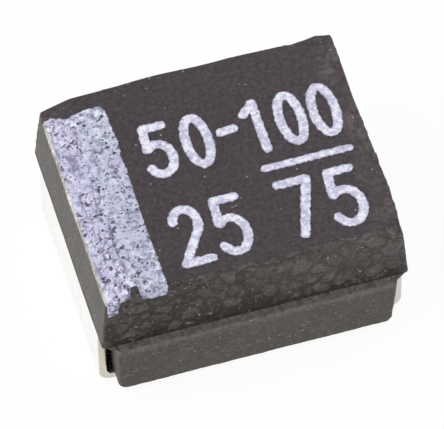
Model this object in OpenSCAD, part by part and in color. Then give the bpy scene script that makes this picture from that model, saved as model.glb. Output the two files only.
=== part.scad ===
// Moulded tantalum chip capacitor, EIA case 3528-21 (metric 3528, size B).
//
// X runs along the part with the anode at -X, Y across it, and Z up from the
// board. The origin is on the board, under the middle of the part, so the two
// terminal feet stand on z = 0. All sizes are in millimetres.

/* [Case] */
// Length of the upper half at the parting line
case_length = 3.5; // [3.4:0.05:3.8]
// Width of the upper half at the parting line
case_width = 2.76; // [2.7:0.02:3]
// Height of the top face above the board
case_height = 1.9; // [1.85:0.05:2.2]
// Height of the parting line above the board
parting_height = 0.97; // [0.94:0.01:1.05]
// Draft of the upper half's end walls, in degrees
upper_end_draft = 4.4; // [1:0.2:6]
// Draft of the upper half's side walls, in degrees
upper_side_draft = 3; // [1:0.2:6]
// Draft of the lower half's end walls, in degrees
lower_end_draft = 2; // [1:0.2:6]
// Draft of the lower half's side walls, in degrees
lower_side_draft = 5; // [1:0.2:7]
// How far the lower half stands proud of the upper half on its long sides
side_ledge = 0.09; // [0.02:0.01:0.12]
// How far the lower half's ends sit back under the upper half
end_setback = 0.15; // [0.12:0.01:0.18]
// Radius of the upright corners
corner_radius = 0.05; // [0.04:0.01:0.12]
// Radius of the edges round the top face
top_edge_radius = 0.03; // [0.03:0.01:0.06]
// Radius of the edges round the underside
bottom_edge_radius = 0.04; // [0.03:0.01:0.1]
// Length of the polarity bevel along the anode end's top edge
bevel_length = 0.32; // [0.2:0.02:0.5]
// Drop of the polarity bevel at the anode end
bevel_drop = 0.12; // [0.04:0.01:0.14]

/* [Polarity band] */
// Width of the marked band, from the bevel's edge at the anode end
band_width = 0.66; // [0.5:0.02:0.8]
// Depth of the marked layer in the face of the case
mark_depth = 0.02; // [0.01:0.005:0.025]
// How far the band runs down the front side, below the top face
band_wrap = 0.26; // [0.16:0.02:0.4]
// How far the band stops short of the back edge of the top face
band_back_margin = 0.2; // [0.08:0.02:0.3]

/* [Terminals] */
// Width of each terminal outside the case
terminal_width = 2.3; // [2:0.1:2.4]
// Thickness of the leadframe
lead_thickness = 0.1; // [0.08:0.01:0.12]
// Length of each foot, from the terminal's outer face
foot_length = 0.8; // [0.6:0.05:1]
// Gap between the case's end and the terminal beside it, at the parting line
end_gap = 0.045; // [0.02:0.005:0.05]
// Inside radius of the bend from the upright to the foot
foot_bend_radius = 0.07; // [0.04:0.01:0.1]
// Length of the full-width shoulder that enters the case
shoulder_length = 0.12; // [0.08:0.01:0.14]
// Width of the anode tab that carries the riser wire
anode_tab_width = 1; // [0.6:0.1:1.4]
// How far the anode tab reaches into the case
anode_tab_length = 0.5; // [0.4:0.02:0.56]
// Width of the cathode pad under the slug
cathode_pad_width = 1.7; // [1.2:0.1:1.7]
// How far the cathode pad reaches under the slug
cathode_pad_length = 1.3; // [0.8:0.1:1.6]
// Distance from the case's end to the cathode lead's drop inside it
cathode_drop_inset = 0.2; // [0.18:0.01:0.22]
// Inside radius of the cathode lead's two inner bends
inner_bend_radius = 0.04; // [0.02:0.01:0.06]

/* [Anode slug] */
// Thickness of the epoxy beside the coated slug, at the top face
side_cover = 0.25; // [0.15:0.01:0.4]
// Thickness of the epoxy over the coated slug
top_cover = 0.22; // [0.15:0.01:0.3]
// Thickness of the epoxy under the cathode pad
bottom_cover = 0.22; // [0.12:0.01:0.3]
// Gap between the anode tab and the insulating washer
tab_clearance = 0.26; // [0.1:0.02:0.4]
// Radius of the slug's long edges
slug_edge_radius = 0.1; // [0.06:0.01:0.14]
// Diameter of the riser wire
wire_diameter = 0.24; // [0.2:0.02:0.3]
// How far the riser wire reaches into the slug
wire_embedded = 1.2; // [0.8:0.1:1.4]
// Depth of the flat that welding presses into the wire
weld_flat = 0.02; // [0.01:0.005:0.04]
// How much of the wire lies on the anode tab
weld_length = 0.32; // [0.24:0.02:0.36]
// Outer diameter of the insulating washer
washer_diameter = 0.8; // [0.6:0.05:0.9]
// Thickness of the insulating washer
washer_thickness = 0.12; // [0.08:0.01:0.14]

/* [Cathode layers] */
// Thickness of the manganese dioxide layer
manganese_thickness = 0.03; // [0.02:0.005:0.04]
// Thickness of the graphite layer
graphite_thickness = 0.02; // [0.015:0.005:0.03]
// Thickness of the silver layer
silver_thickness = 0.03; // [0.02:0.005:0.04]
// How far each of the two outer layers stops short of the one beneath it
layer_step = 0.1; // [0.06:0.01:0.14]
// Thickness of the conductive adhesive
adhesive_thickness = 0.04; // [0.03:0.005:0.05]
// Width of the adhesive bond
adhesive_width = 1.5; // [1:0.1:1.6]
// How far the adhesive climbs the slug's cathode end
adhesive_rise = 0.3; // [0.2:0.02:0.36]

/* [Hidden] */
$fn = 48;
corner_fn = 32;
overcut = 0.5;
rim_slab = 0.005;

case_colour = [0.27, 0.25, 0.24];
mark_colour = [0.82, 0.81, 0.88];
tin_colour = [0.82, 0.8, 0.76];
tantalum_colour = [0.36, 0.37, 0.4];
wire_colour = [0.55, 0.56, 0.6];
washer_colour = [0.93, 0.93, 0.9];
manganese_colour = [0.16, 0.14, 0.13];
graphite_colour = [0.22, 0.22, 0.23];
silver_colour = [0.76, 0.76, 0.78];
adhesive_colour = [0.64, 0.62, 0.58];

// Case: the walls lean in from the parting line to the top and the underside.
upper_height = case_height - parting_height;
underside = lead_thickness;
lower_height = parting_height - underside;
lower_length = case_length - 2 * end_setback;
lower_width = case_width + 2 * side_ledge;
top_length = case_length - 2 * upper_height * tan(upper_end_draft);
top_width = case_width - 2 * upper_height * tan(upper_side_draft);
underside_length = lower_length - 2 * lower_height * tan(lower_end_draft);
underside_width = lower_width - 2 * lower_height * tan(lower_side_draft);

// Terminals, measured from the middle of the part.
lower_end = lower_length / 2;
terminal_face = lower_end + end_gap + lead_thickness;
foot_tip = terminal_face - foot_length;
drop_face = lower_end - cathode_drop_inset;

// Slug and layers: the slug fills the room between the two leads and inside
// the covers of epoxy.
coat = manganese_thickness + graphite_thickness + silver_thickness;
anode_tab_end = -(lower_end - anode_tab_length);
pad_top = underside + bottom_cover + lead_thickness;
silver_end = drop_face - lead_thickness - adhesive_thickness;
slug_cathode_face = silver_end - coat;
slug_anode_face = anode_tab_end + tab_clearance + washer_thickness;
slug_width = top_width - 2 * (side_cover + coat);
slug_bottom = pad_top + adhesive_thickness + coat;
slug_top = case_height - top_cover - coat;
slug_height = slug_top - slug_bottom;
pad_tip = silver_end - cathode_pad_length;
wire_axis = parting_height + wire_diameter / 2 - weld_flat;
wire_tip = anode_tab_end - weld_length;
wire_end = slug_anode_face + wire_embedded;

// A flat outline drawn in X and Z, given a width along Y.
module across(width) {
    rotate([90, 0, 0]) linear_extrude(height = width, center = true) children();
}

// A straight run of the leadframe, from one corner to the other.
module run(from, to) {
    translate(from) square(to - from);
}

// A quarter bend of the leadframe. quadrant 0 is the one at +X +Z of the centre.
module bend(centre, inside, quadrant) {
    outside = inside + lead_thickness;
    translate(centre) intersection() {
        difference() {
            circle(r = outside);
            circle(r = inside);
        }
        rotate(90 * quadrant) square(outside);
    }
}

// A rectangle with round corners, centred.
module round_rectangle(width, height, radius) {
    square([width - 2 * radius, height], center = true);
    square([width, height - 2 * radius], center = true);
    for (x = [-1, 1], y = [-1, 1])
        translate([x * (width / 2 - radius), y * (height / 2 - radius)])
            circle(r = radius);
}

// Upper half of the moulding, its whole surface moved out by grow. The bevel
// lowers the top along the anode end, and the walls lean in to the top.
module upper_half(grow = 0) {
    rim_x = case_length / 2 - corner_radius;
    rim_y = case_width / 2 - corner_radius;
    top_x = top_length / 2 - top_edge_radius;
    top_y = top_width / 2 - top_edge_radius;
    top_z = case_height - top_edge_radius;
    top_balls = [
        [-top_x, top_z - bevel_drop],
        [-top_x + bevel_length, top_z],
        [top_x, top_z]
    ];
    hull() {
        for (side = [-1, 1]) {
            for (end = [-1, 1])
                translate([end * rim_x, side * rim_y, parting_height])
                    cylinder(r = corner_radius + grow, h = rim_slab,
                             $fn = corner_fn);
            for (ball = top_balls)
                translate([ball[0], side * top_y, ball[1]])
                    sphere(r = top_edge_radius + grow, $fn = corner_fn);
        }
    }
}

// Lower half: shorter than the upper half, to make room for the terminals,
// and a ledge wider on its long sides.
module lower_half() {
    rim_x = lower_length / 2 - corner_radius;
    rim_y = lower_width / 2 - corner_radius;
    foot_x = underside_length / 2 - bottom_edge_radius;
    foot_y = underside_width / 2 - bottom_edge_radius;
    hull() {
        for (side = [-1, 1], end = [-1, 1]) {
            translate([end * rim_x, side * rim_y, parting_height - rim_slab])
                cylinder(r = corner_radius, h = rim_slab, $fn = corner_fn);
            translate([end * foot_x, side * foot_y,
                       underside + bottom_edge_radius])
                sphere(r = bottom_edge_radius, $fn = corner_fn);
        }
    }
}

// What the epoxy is moulded round.
module moulded_in() {
    anode_lead_inside();
    cathode_lead_inside();
    slug_block(manganese_thickness, slug_anode_face - manganese_thickness);
    slug_block(manganese_thickness + graphite_thickness,
               slug_anode_face + layer_step);
    slug_block(coat, slug_anode_face + 2 * layer_step);
    washer_disc();
    wire_rod(wire_tip, slug_anode_face);
    adhesive_fillet();
}

module moulded_case() {
    color(case_colour) difference() {
        union() {
            upper_half();
            lower_half();
        }
        marked_region();
        moulded_in();
    }
}

// Where the case is marked: on the bevel and the top face beside it, and down
// the front side.
module marked_region() {
    from_x = -top_length / 2 + top_edge_radius;
    to_y = top_width / 2 - band_back_margin;
    difference() {
        translate([from_x, to_y - 2 * case_width, case_height - band_wrap])
            cube([band_width, 2 * case_width, 2 * band_wrap]);
        upper_half(-mark_depth);
    }
}

// The band is a thin layer, flush with the case round it.
module polarity_band() {
    color(mark_colour) intersection() {
        upper_half();
        marked_region();
    }
}

// Outside of a terminal at +X: out of the case, down its end and under it.
module strap_profile() {
    upright_x = terminal_face - lead_thickness;
    top_centre = [lower_end, parting_height - lead_thickness - end_gap];
    foot_centre = [upright_x - foot_bend_radius,
                   lead_thickness + foot_bend_radius];
    bend(top_centre, end_gap, 0);
    run([upright_x, foot_centre[1]], [terminal_face, top_centre[1]]);
    bend(foot_centre, foot_bend_radius, 3);
    run([foot_tip, 0], [foot_centre[0], lead_thickness]);
}

module strap() {
    across(terminal_width) strap_profile();
}

// Shoulder of either terminal, at +X, and the narrower lead behind it.
module shoulder() {
    across(terminal_width)
        run([lower_end - shoulder_length, parting_height - lead_thickness],
            [lower_end, parting_height]);
}

module anode_lead_inside() {
    mirror([1, 0, 0]) {
        shoulder();
        across(anode_tab_width)
            run([lower_end - anode_tab_length,
                 parting_height - lead_thickness],
                [lower_end, parting_height]);
    }
}

module anode_terminal() {
    color(tin_colour) {
        mirror([1, 0, 0]) strap();
        anode_lead_inside();
    }
}

// The cathode lead drops beside the slug's end and runs on under the slug.
module cathode_lead_profile() {
    drop_inside = drop_face - lead_thickness;
    upper_centre = [drop_face + inner_bend_radius,
                    parting_height - lead_thickness - inner_bend_radius];
    lower_centre = [drop_inside - inner_bend_radius,
                    pad_top + inner_bend_radius];
    run([upper_centre[0], parting_height - lead_thickness],
        [lower_end, parting_height]);
    bend(upper_centre, inner_bend_radius, 1);
    run([drop_inside, lower_centre[1]], [drop_face, upper_centre[1]]);
    bend(lower_centre, inner_bend_radius, 3);
    run([pad_tip, pad_top - lead_thickness], [lower_centre[0], pad_top]);
}

module cathode_lead_inside() {
    shoulder();
    across(cathode_pad_width) cathode_lead_profile();
}

module cathode_terminal() {
    color(tin_colour) {
        strap();
        cathode_lead_inside();
    }
}

// The slug's outline with its surface moved out by grow, from from_x to the
// cathode end.
module slug_block(grow, from_x) {
    to_x = slug_cathode_face + grow;
    translate([from_x, 0, (slug_bottom + slug_top) / 2])
        rotate([90, 0, 90])
            linear_extrude(height = to_x - from_x)
                round_rectangle(slug_width + 2 * grow, slug_height + 2 * grow,
                                slug_edge_radius + grow);
}

module wire_rod(from_x, to_x) {
    difference() {
        translate([from_x, 0, wire_axis])
            rotate([0, 90, 0])
                cylinder(d = wire_diameter, h = to_x - from_x);
        translate([from_x - overcut, -wire_diameter,
                   parting_height - wire_diameter])
            cube([overcut + weld_length, 2 * wire_diameter, wire_diameter]);
    }
}

module washer_disc() {
    translate([slug_anode_face - washer_thickness, 0, wire_axis])
        rotate([0, 90, 0])
            cylinder(d = washer_diameter, h = washer_thickness);
}

module tantalum_slug() {
    color(tantalum_colour) difference() {
        slug_block(0, slug_anode_face);
        wire_rod(wire_tip, wire_end);
    }
}

module riser_wire() {
    color(wire_colour) wire_rod(wire_tip, wire_end);
}

module insulating_washer() {
    color(washer_colour) difference() {
        washer_disc();
        wire_rod(wire_tip, wire_end);
    }
}

module manganese_dioxide_layer() {
    color(manganese_colour) difference() {
        slug_block(manganese_thickness, slug_anode_face - manganese_thickness);
        slug_block(0, slug_anode_face);
        washer_disc();
    }
}

module graphite_layer() {
    color(graphite_colour) difference() {
        slug_block(manganese_thickness + graphite_thickness,
                   slug_anode_face + layer_step);
        slug_block(manganese_thickness, slug_anode_face - manganese_thickness);
    }
}

module silver_layer() {
    color(silver_colour) difference() {
        slug_block(coat, slug_anode_face + 2 * layer_step);
        slug_block(manganese_thickness + graphite_thickness,
                   slug_anode_face + layer_step);
    }
}

// Adhesive between the silver and the cathode lead, under the slug and up its
// end. It fills the inside of the lead's lower bend.
module adhesive_fillet() {
    bond_end = drop_face - lead_thickness;
    difference() {
        across(adhesive_width)
            run([pad_tip, pad_top],
                [bond_end, pad_top + adhesive_thickness + adhesive_rise]);
        slug_block(coat, pad_tip - overcut);
        across(cathode_pad_width) cathode_lead_profile();
    }
}

module adhesive_bond() {
    color(adhesive_colour) adhesive_fillet();
}

moulded_case();
polarity_band();
anode_terminal();
cathode_terminal();
tantalum_slug();
riser_wire();
insulating_washer();
manganese_dioxide_layer();
graphite_layer();
silver_layer();
adhesive_bond();
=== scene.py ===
"""Looks of a moulded surface-mount tantalum capacitor.

The epoxy case, its marks and its two terminals are modelled here as fine
surfaces that stand for the plain solids of the frame. The pieces inside the
case keep their solids and get finishes of their own. Shapes are worked out in
millimetres and written to the meshes in metres.
"""

import logging
import math
from dataclasses import astuple, dataclass, field
from enum import Enum

import bmesh
import bpy
import numpy as np
from mathutils import Matrix, Vector


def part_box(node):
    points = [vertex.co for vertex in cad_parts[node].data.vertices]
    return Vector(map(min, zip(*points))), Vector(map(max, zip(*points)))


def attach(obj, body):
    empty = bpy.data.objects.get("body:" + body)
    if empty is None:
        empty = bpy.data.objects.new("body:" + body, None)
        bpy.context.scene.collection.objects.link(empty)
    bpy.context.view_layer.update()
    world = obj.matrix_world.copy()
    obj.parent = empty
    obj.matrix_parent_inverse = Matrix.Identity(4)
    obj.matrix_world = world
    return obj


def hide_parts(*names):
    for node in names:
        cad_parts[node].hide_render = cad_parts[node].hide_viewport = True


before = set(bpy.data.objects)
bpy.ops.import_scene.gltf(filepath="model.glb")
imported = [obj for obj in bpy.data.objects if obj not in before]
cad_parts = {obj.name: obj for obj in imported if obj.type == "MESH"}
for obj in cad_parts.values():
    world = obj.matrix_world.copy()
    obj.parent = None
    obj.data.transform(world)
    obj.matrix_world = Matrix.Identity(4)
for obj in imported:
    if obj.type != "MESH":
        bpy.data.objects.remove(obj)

MM = 0.001
ROOT_BODY = "root"
log = logging.getLogger("capacitor")


# ---------------------------------------------------------------------------
# Numbers and surfaces
# ---------------------------------------------------------------------------


def smoothstep(low: float, high: float, value: np.ndarray) -> np.ndarray:
    """Eases from 0 at low to 1 at high.

    Args:
        low: Where the step starts.
        high: Where the step ends.
        value: The numbers to ease.

    Returns:
        The cubic 3t^2 - 2t^3 of how far each number lies from low to high.
    """
    part = np.clip((value - low) / (high - low), 0.0, 1.0)
    return part * part * (3.0 - 2.0 * part)


class Relief:
    """Seeded gradient noise in three dimensions, on whole arrays of points."""

    def __init__(self, seed: int) -> None:
        """Shuffles the lattice.

        Args:
            seed: The number that fixes the noise.
        """
        source = np.random.default_rng(seed)
        self._order = np.tile(source.permutation(256), 3)
        slopes = source.normal(size=(256, 3))
        self._slopes = slopes / np.linalg.norm(slopes, axis=1, keepdims=True)
        self._spots = source.random(size=(256, 3))
        self._heights = source.uniform(-1.0, 1.0, 256)

    def _hash(self, cell: np.ndarray) -> np.ndarray:
        """Gives each lattice cell a number from 0 to 255 by chained look-up."""
        key = cell % 256
        hashed = self._order[key[:, 0]]
        hashed = self._order[hashed + key[:, 1]]
        return self._order[hashed + key[:, 2]]

    def at(self, points: np.ndarray, size: float) -> np.ndarray:
        """Reads the noise.

        Each point lies in a lattice cell as wide as size. Every corner of the
        cell has a slope, and the corners' planes are blended with a quintic
        ease.

        Args:
            points: Points in millimetres, one a row.
            size: Width of a lattice cell in millimetres.

        Returns:
            One number a point, from about -1 to 1.
        """
        scaled = points / size
        cell = np.floor(scaled).astype(np.int64)
        part = scaled - cell
        ease = part**3 * (part * (part * 6.0 - 15.0) + 10.0)
        total = np.zeros(len(points))
        for corner in np.ndindex(2, 2, 2):
            slope = self._slopes[self._hash(cell + corner)]
            height = np.sum(slope * (part - corner), axis=1)
            share = np.where(corner, ease, 1.0 - ease).prod(axis=1)
            total += height * share
        return total * 1.6

    def fractal(self, points: np.ndarray, size: float, octaves: int) -> np.ndarray:
        """Adds finer and finer noise, each half as wide and half as strong.

        Args:
            points: Points in millimetres, one a row.
            size: Width of the coarsest lattice cell in millimetres.
            octaves: How many layers to add.

        Returns:
            One number a point, from about -1 to 1.
        """
        layers = [self.at(points + 7.3 * k, size / 2**k) / 2**k for k in range(octaves)]
        return sum(layers) / (2.0 - 2.0 ** (1 - octaves))

    def billow(self, points: np.ndarray, size: float, octaves: int) -> np.ndarray:
        """Folds the noise into round lumps with creases between them.

        Args:
            points: Points in millimetres, one a row.
            size: Width of the coarsest lattice cell in millimetres.
            octaves: How many layers to add.

        Returns:
            One number a point, from about -0.5 in a crease to 0.5 on a lump.
        """
        layers = [
            np.abs(self.at(points + 3.1 * k, size / 2**k)) / 2**k for k in range(octaves)
        ]
        return sum(layers) / (2.0 - 2.0 ** (1 - octaves)) * 1.6 - 0.4

    def plates(self, points: np.ndarray, size: float) -> np.ndarray:
        """Breaks the surface into irregular plates of random height.

        A random spot sits in each lattice cell, and a plate is where one spot
        is nearest. Its height is that spot's own number. It falls to -1 in
        the seams, where two spots are as near.

        Args:
            points: Points in millimetres, one a row.
            size: Width of a lattice cell in millimetres.

        Returns:
            One number a point, from -1 in a seam to 1 on the highest plate.
        """
        scaled = points / size
        cell = np.floor(scaled).astype(np.int64)
        nearest = np.full(len(points), 9.0)
        second = nearest.copy()
        height = np.zeros(len(points))
        for shift in np.ndindex(3, 3, 3):
            near = cell + shift - 1
            hashed = self._hash(near)
            away = np.linalg.norm(scaled - near - self._spots[hashed], axis=1)
            closer = away < nearest
            second = np.where(closer, nearest, np.minimum(second, away))
            height = np.where(closer, self._heights[hashed], height)
            nearest = np.where(closer, away, nearest)
        inside = smoothstep(0.0, 0.3, second - nearest)
        return height * inside - (1.0 - inside)


def new_mesh(name: str, points: np.ndarray, faces: np.ndarray) -> bpy.types.Object:
    """Makes an object from whole arrays, with smooth shading.

    Args:
        name: The object's name.
        points: Points in millimetres, one a row.
        faces: Four point numbers a row. A row that repeats its last number is
            a triangle.

    Returns:
        The object, at the origin and linked to the scene.
    """
    corners = np.where(faces[:, 3] == faces[:, 2], 3, 4)
    keep = np.arange(4)[None, :] < corners[:, None]
    loops = faces[keep]
    starts = np.concatenate(([0], np.cumsum(corners)[:-1]))
    mesh = bpy.data.meshes.new(name)
    mesh.vertices.add(len(points))
    mesh.vertices.foreach_set("co", (points * MM).astype(np.float32).ravel())
    mesh.loops.add(len(loops))
    mesh.loops.foreach_set("vertex_index", loops.astype(np.int32))
    mesh.polygons.add(len(faces))
    mesh.polygons.foreach_set("loop_start", starts.astype(np.int32))
    mesh.polygons.foreach_set("use_smooth", np.ones(len(faces), dtype=bool))
    mesh.update(calc_edges=True)
    mesh.validate()
    thing = bpy.data.objects.new(name, mesh)
    bpy.context.collection.objects.link(thing)
    return thing


def paint_points(thing: bpy.types.Object, name: str, values: np.ndarray) -> None:
    """Keeps a colour or a number on each point of a mesh.

    Args:
        thing: The object.
        name: The attribute's name.
        values: One number a point, or one colour a row.
    """
    kind, key = ("FLOAT", "value") if values.ndim == 1 else ("FLOAT_COLOR", "color")
    if values.ndim == 2:
        values = np.column_stack([values, np.ones(len(values))])
    layer = thing.data.attributes.new(name, kind, "POINT")
    layer.data.foreach_set(key, values.astype(np.float32).ravel())


def ring_faces(rings: int, around: int) -> np.ndarray:
    """Numbers the faces between rings that each close on themselves.

    Args:
        rings: How many rings there are, one after another.
        around: How many points a ring has.

    Returns:
        One face a row, turned so that it faces outwards where the rings run
        anticlockwise as seen from the last one.
    """
    ring, step = np.meshgrid(np.arange(rings - 1), np.arange(around), indexing="ij")
    after = (step + 1) % around
    low, high = ring * around, (ring + 1) * around
    corners = (low + step, low + after, high + after, high + step)
    return np.stack([c.ravel() for c in corners], axis=1)


def cap_faces(first: int, around: int, centre: int, up: bool) -> np.ndarray:
    """Closes a ring with triangles to one point.

    Args:
        first: Number of the ring's first point.
        around: How many points the ring has.
        centre: Number of the point in the middle.
        up: Whether the cap faces the way that the rings run.

    Returns:
        One triangle a row, with its last number repeated.
    """
    step = np.arange(around)
    here, after = first + step, first + (step + 1) % around
    middle = np.full(around, centre)
    order = (here, after, middle, middle) if up else (after, here, middle, middle)
    return np.stack(order, axis=1)


# ---------------------------------------------------------------------------
# Shader building
# ---------------------------------------------------------------------------

Colour = tuple[float, float, float]


class Signal:
    """A number that varies over a surface, with arithmetic on it."""

    def __init__(self, painter: "Painter", socket: bpy.types.NodeSocket) -> None:
        """Wraps a socket.

        Args:
            painter: The material that the socket is in.
            socket: The output that gives the number.
        """
        self.painter = painter
        self.socket = socket

    def _maths(self, operation: str, *values: "Signal | float") -> "Signal":
        """Adds a Math node that works on the given values."""
        node = self.painter.node(
            "ShaderNodeMath", {"operation": operation}, dict(enumerate(values))
        )
        return Signal(self.painter, node.outputs[0])

    def __add__(self, other: "Signal | float") -> "Signal":
        """Adds."""
        return self._maths("ADD", self, other)

    __radd__ = __add__

    def __sub__(self, other: "Signal | float") -> "Signal":
        """Takes the other value away."""
        return self._maths("SUBTRACT", self, other)

    def __rsub__(self, other: float) -> "Signal":
        """Takes this value away from a number."""
        return self._maths("SUBTRACT", other, self)

    def __mul__(self, other: "Signal | float") -> "Signal":
        """Multiplies."""
        return self._maths("MULTIPLY", self, other)

    __rmul__ = __mul__

    def most(self, other: "Signal | float") -> "Signal":
        """Takes the larger of the two."""
        return self._maths("MAXIMUM", self, other)

    def least(self, other: "Signal | float") -> "Signal":
        """Takes the smaller of the two."""
        return self._maths("MINIMUM", self, other)

    def ease(self, low: float, high: float) -> "Signal":
        """Eases from 0 at low to 1 at high, or the other way where low > high.

        Args:
            low: The value that gives 0.
            high: The value that gives 1.

        Returns:
            The eased number.
        """
        node = self.painter.node(
            "ShaderNodeMapRange",
            {"interpolation_type": "SMOOTHSTEP"},
            {"Value": self, "From Min": low, "From Max": high},
        )
        return Signal(self.painter, node.outputs["Result"])


class Painter:
    """One material with a Principled surface, and the nodes that feed it."""

    def __init__(self, name: str) -> None:
        """Makes the material.

        Args:
            name: The material's name.
        """
        self.material = bpy.data.materials.new(name)
        self.material.use_nodes = True
        self.tree = self.material.node_tree
        self.tree.nodes.clear()
        self.surface = self.node("ShaderNodeBsdfPrincipled")
        self.node("ShaderNodeOutputMaterial", None, {"Surface": self.surface.outputs[0]})
        self.place = self.node("ShaderNodeTexCoord").outputs["Object"]

    def node(
        self,
        kind: str,
        settings: dict[str, object] | None = None,
        inputs: dict[str | int, object] | None = None,
    ) -> bpy.types.Node:
        """Adds a node.

        Args:
            kind: The node's type.
            settings: Properties to set first.
            inputs: Values, signals or sockets, by the input's name or number.

        Returns:
            The node.
        """
        node = self.tree.nodes.new(kind)
        for key, value in (settings or {}).items():
            setattr(node, key, value)
        for key, value in (inputs or {}).items():
            self._feed(node.inputs[key], value)
        return node

    def _feed(self, socket: bpy.types.NodeSocket, value: object) -> None:
        """Links or sets one input."""
        if isinstance(value, Signal):
            self.tree.links.new(value.socket, socket)
        elif isinstance(value, bpy.types.NodeSocket):
            self.tree.links.new(value, socket)
        elif isinstance(value, tuple) and socket.type == "RGBA":
            socket.default_value = (*value, 1.0)
        else:
            socket.default_value = value

    def stretched(self, scale: tuple[float, float, float]) -> bpy.types.NodeSocket:
        """Scales the place on the piece, so that a pattern is drawn out.

        Args:
            scale: How many times finer the pattern is along each axis.

        Returns:
            The scaled place.
        """
        node = self.node("ShaderNodeMapping", None, {"Vector": self.place, "Scale": scale})
        return node.outputs[0]

    def cloud(
        self,
        size: float,
        detail: float = 3.0,
        roughness: float = 0.5,
        place: bpy.types.NodeSocket | None = None,
    ) -> Signal:
        """Adds soft noise.

        Args:
            size: Width of a patch in millimetres.
            detail: How many finer layers it has.
            roughness: How strong the finer layers are.
            place: Where to read it, or the place on the piece.

        Returns:
            The noise, about 0.5 on average.
        """
        node = self.node(
            "ShaderNodeTexNoise",
            None,
            {
                "Vector": place or self.place,
                "Scale": 1.0 / (size * MM),
                "Detail": detail,
                "Roughness": roughness,
            },
        )
        return Signal(self, node.outputs[0])

    def cells(self, size: float, place: bpy.types.NodeSocket | None = None) -> Signal:
        """Adds scattered points.

        Args:
            size: Distance between points in millimetres.
            place: Where to read it, or the place on the piece.

        Returns:
            The distance from the nearest point, in parts of size.
        """
        node = self.node(
            "ShaderNodeTexVoronoi",
            {"feature": "F1"},
            {"Vector": place or self.place, "Scale": 1.0 / (size * MM)},
        )
        return Signal(self, node.outputs["Distance"])

    def kept(self, name: str) -> bpy.types.Node:
        """Reads what the mesh keeps on its points under a name."""
        return self.node("ShaderNodeAttribute", {"attribute_name": name})

    def axis(self, name: str) -> Signal:
        """Gives the place on the piece along one axis, in millimetres."""
        node = self.node("ShaderNodeSeparateXYZ", None, {0: self.place})
        return Signal(self, node.outputs[name]) * (1.0 / MM)

    def mix(self, share: Signal, first: object, second: object) -> bpy.types.NodeSocket:
        """Mixes two colours.

        Args:
            share: How much of the second colour there is, from 0 to 1.
            first: A colour or a colour socket.
            second: A colour or a colour socket.

        Returns:
            The mixed colour.
        """
        node = self.node(
            "ShaderNodeMix",
            {"data_type": "RGBA"},
            {0: share, 6: first, 7: second},
        )
        return node.outputs[2]

    def bump(self, height: Signal, depth: float) -> bpy.types.NodeSocket:
        """Turns a height into a normal.

        Args:
            height: The height, from 0 to 1.
            depth: What a height of 1 stands for, in millimetres.

        Returns:
            The bumped normal.
        """
        node = self.node("ShaderNodeBump", None, {"Height": height, "Distance": depth * MM})
        return node.outputs[0]

    def set(self, **inputs: object) -> bpy.types.Material:
        """Feeds the surface and hands the material over.

        Args:
            **inputs: Values, signals or sockets, by the input's name in small
                letters with underscores.

        Returns:
            The material.
        """
        for key, value in inputs.items():
            self._feed(self.surface.inputs[key.replace("_", " ").title()], value)
        return self.material


# ---------------------------------------------------------------------------
# Finishes
# ---------------------------------------------------------------------------


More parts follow.
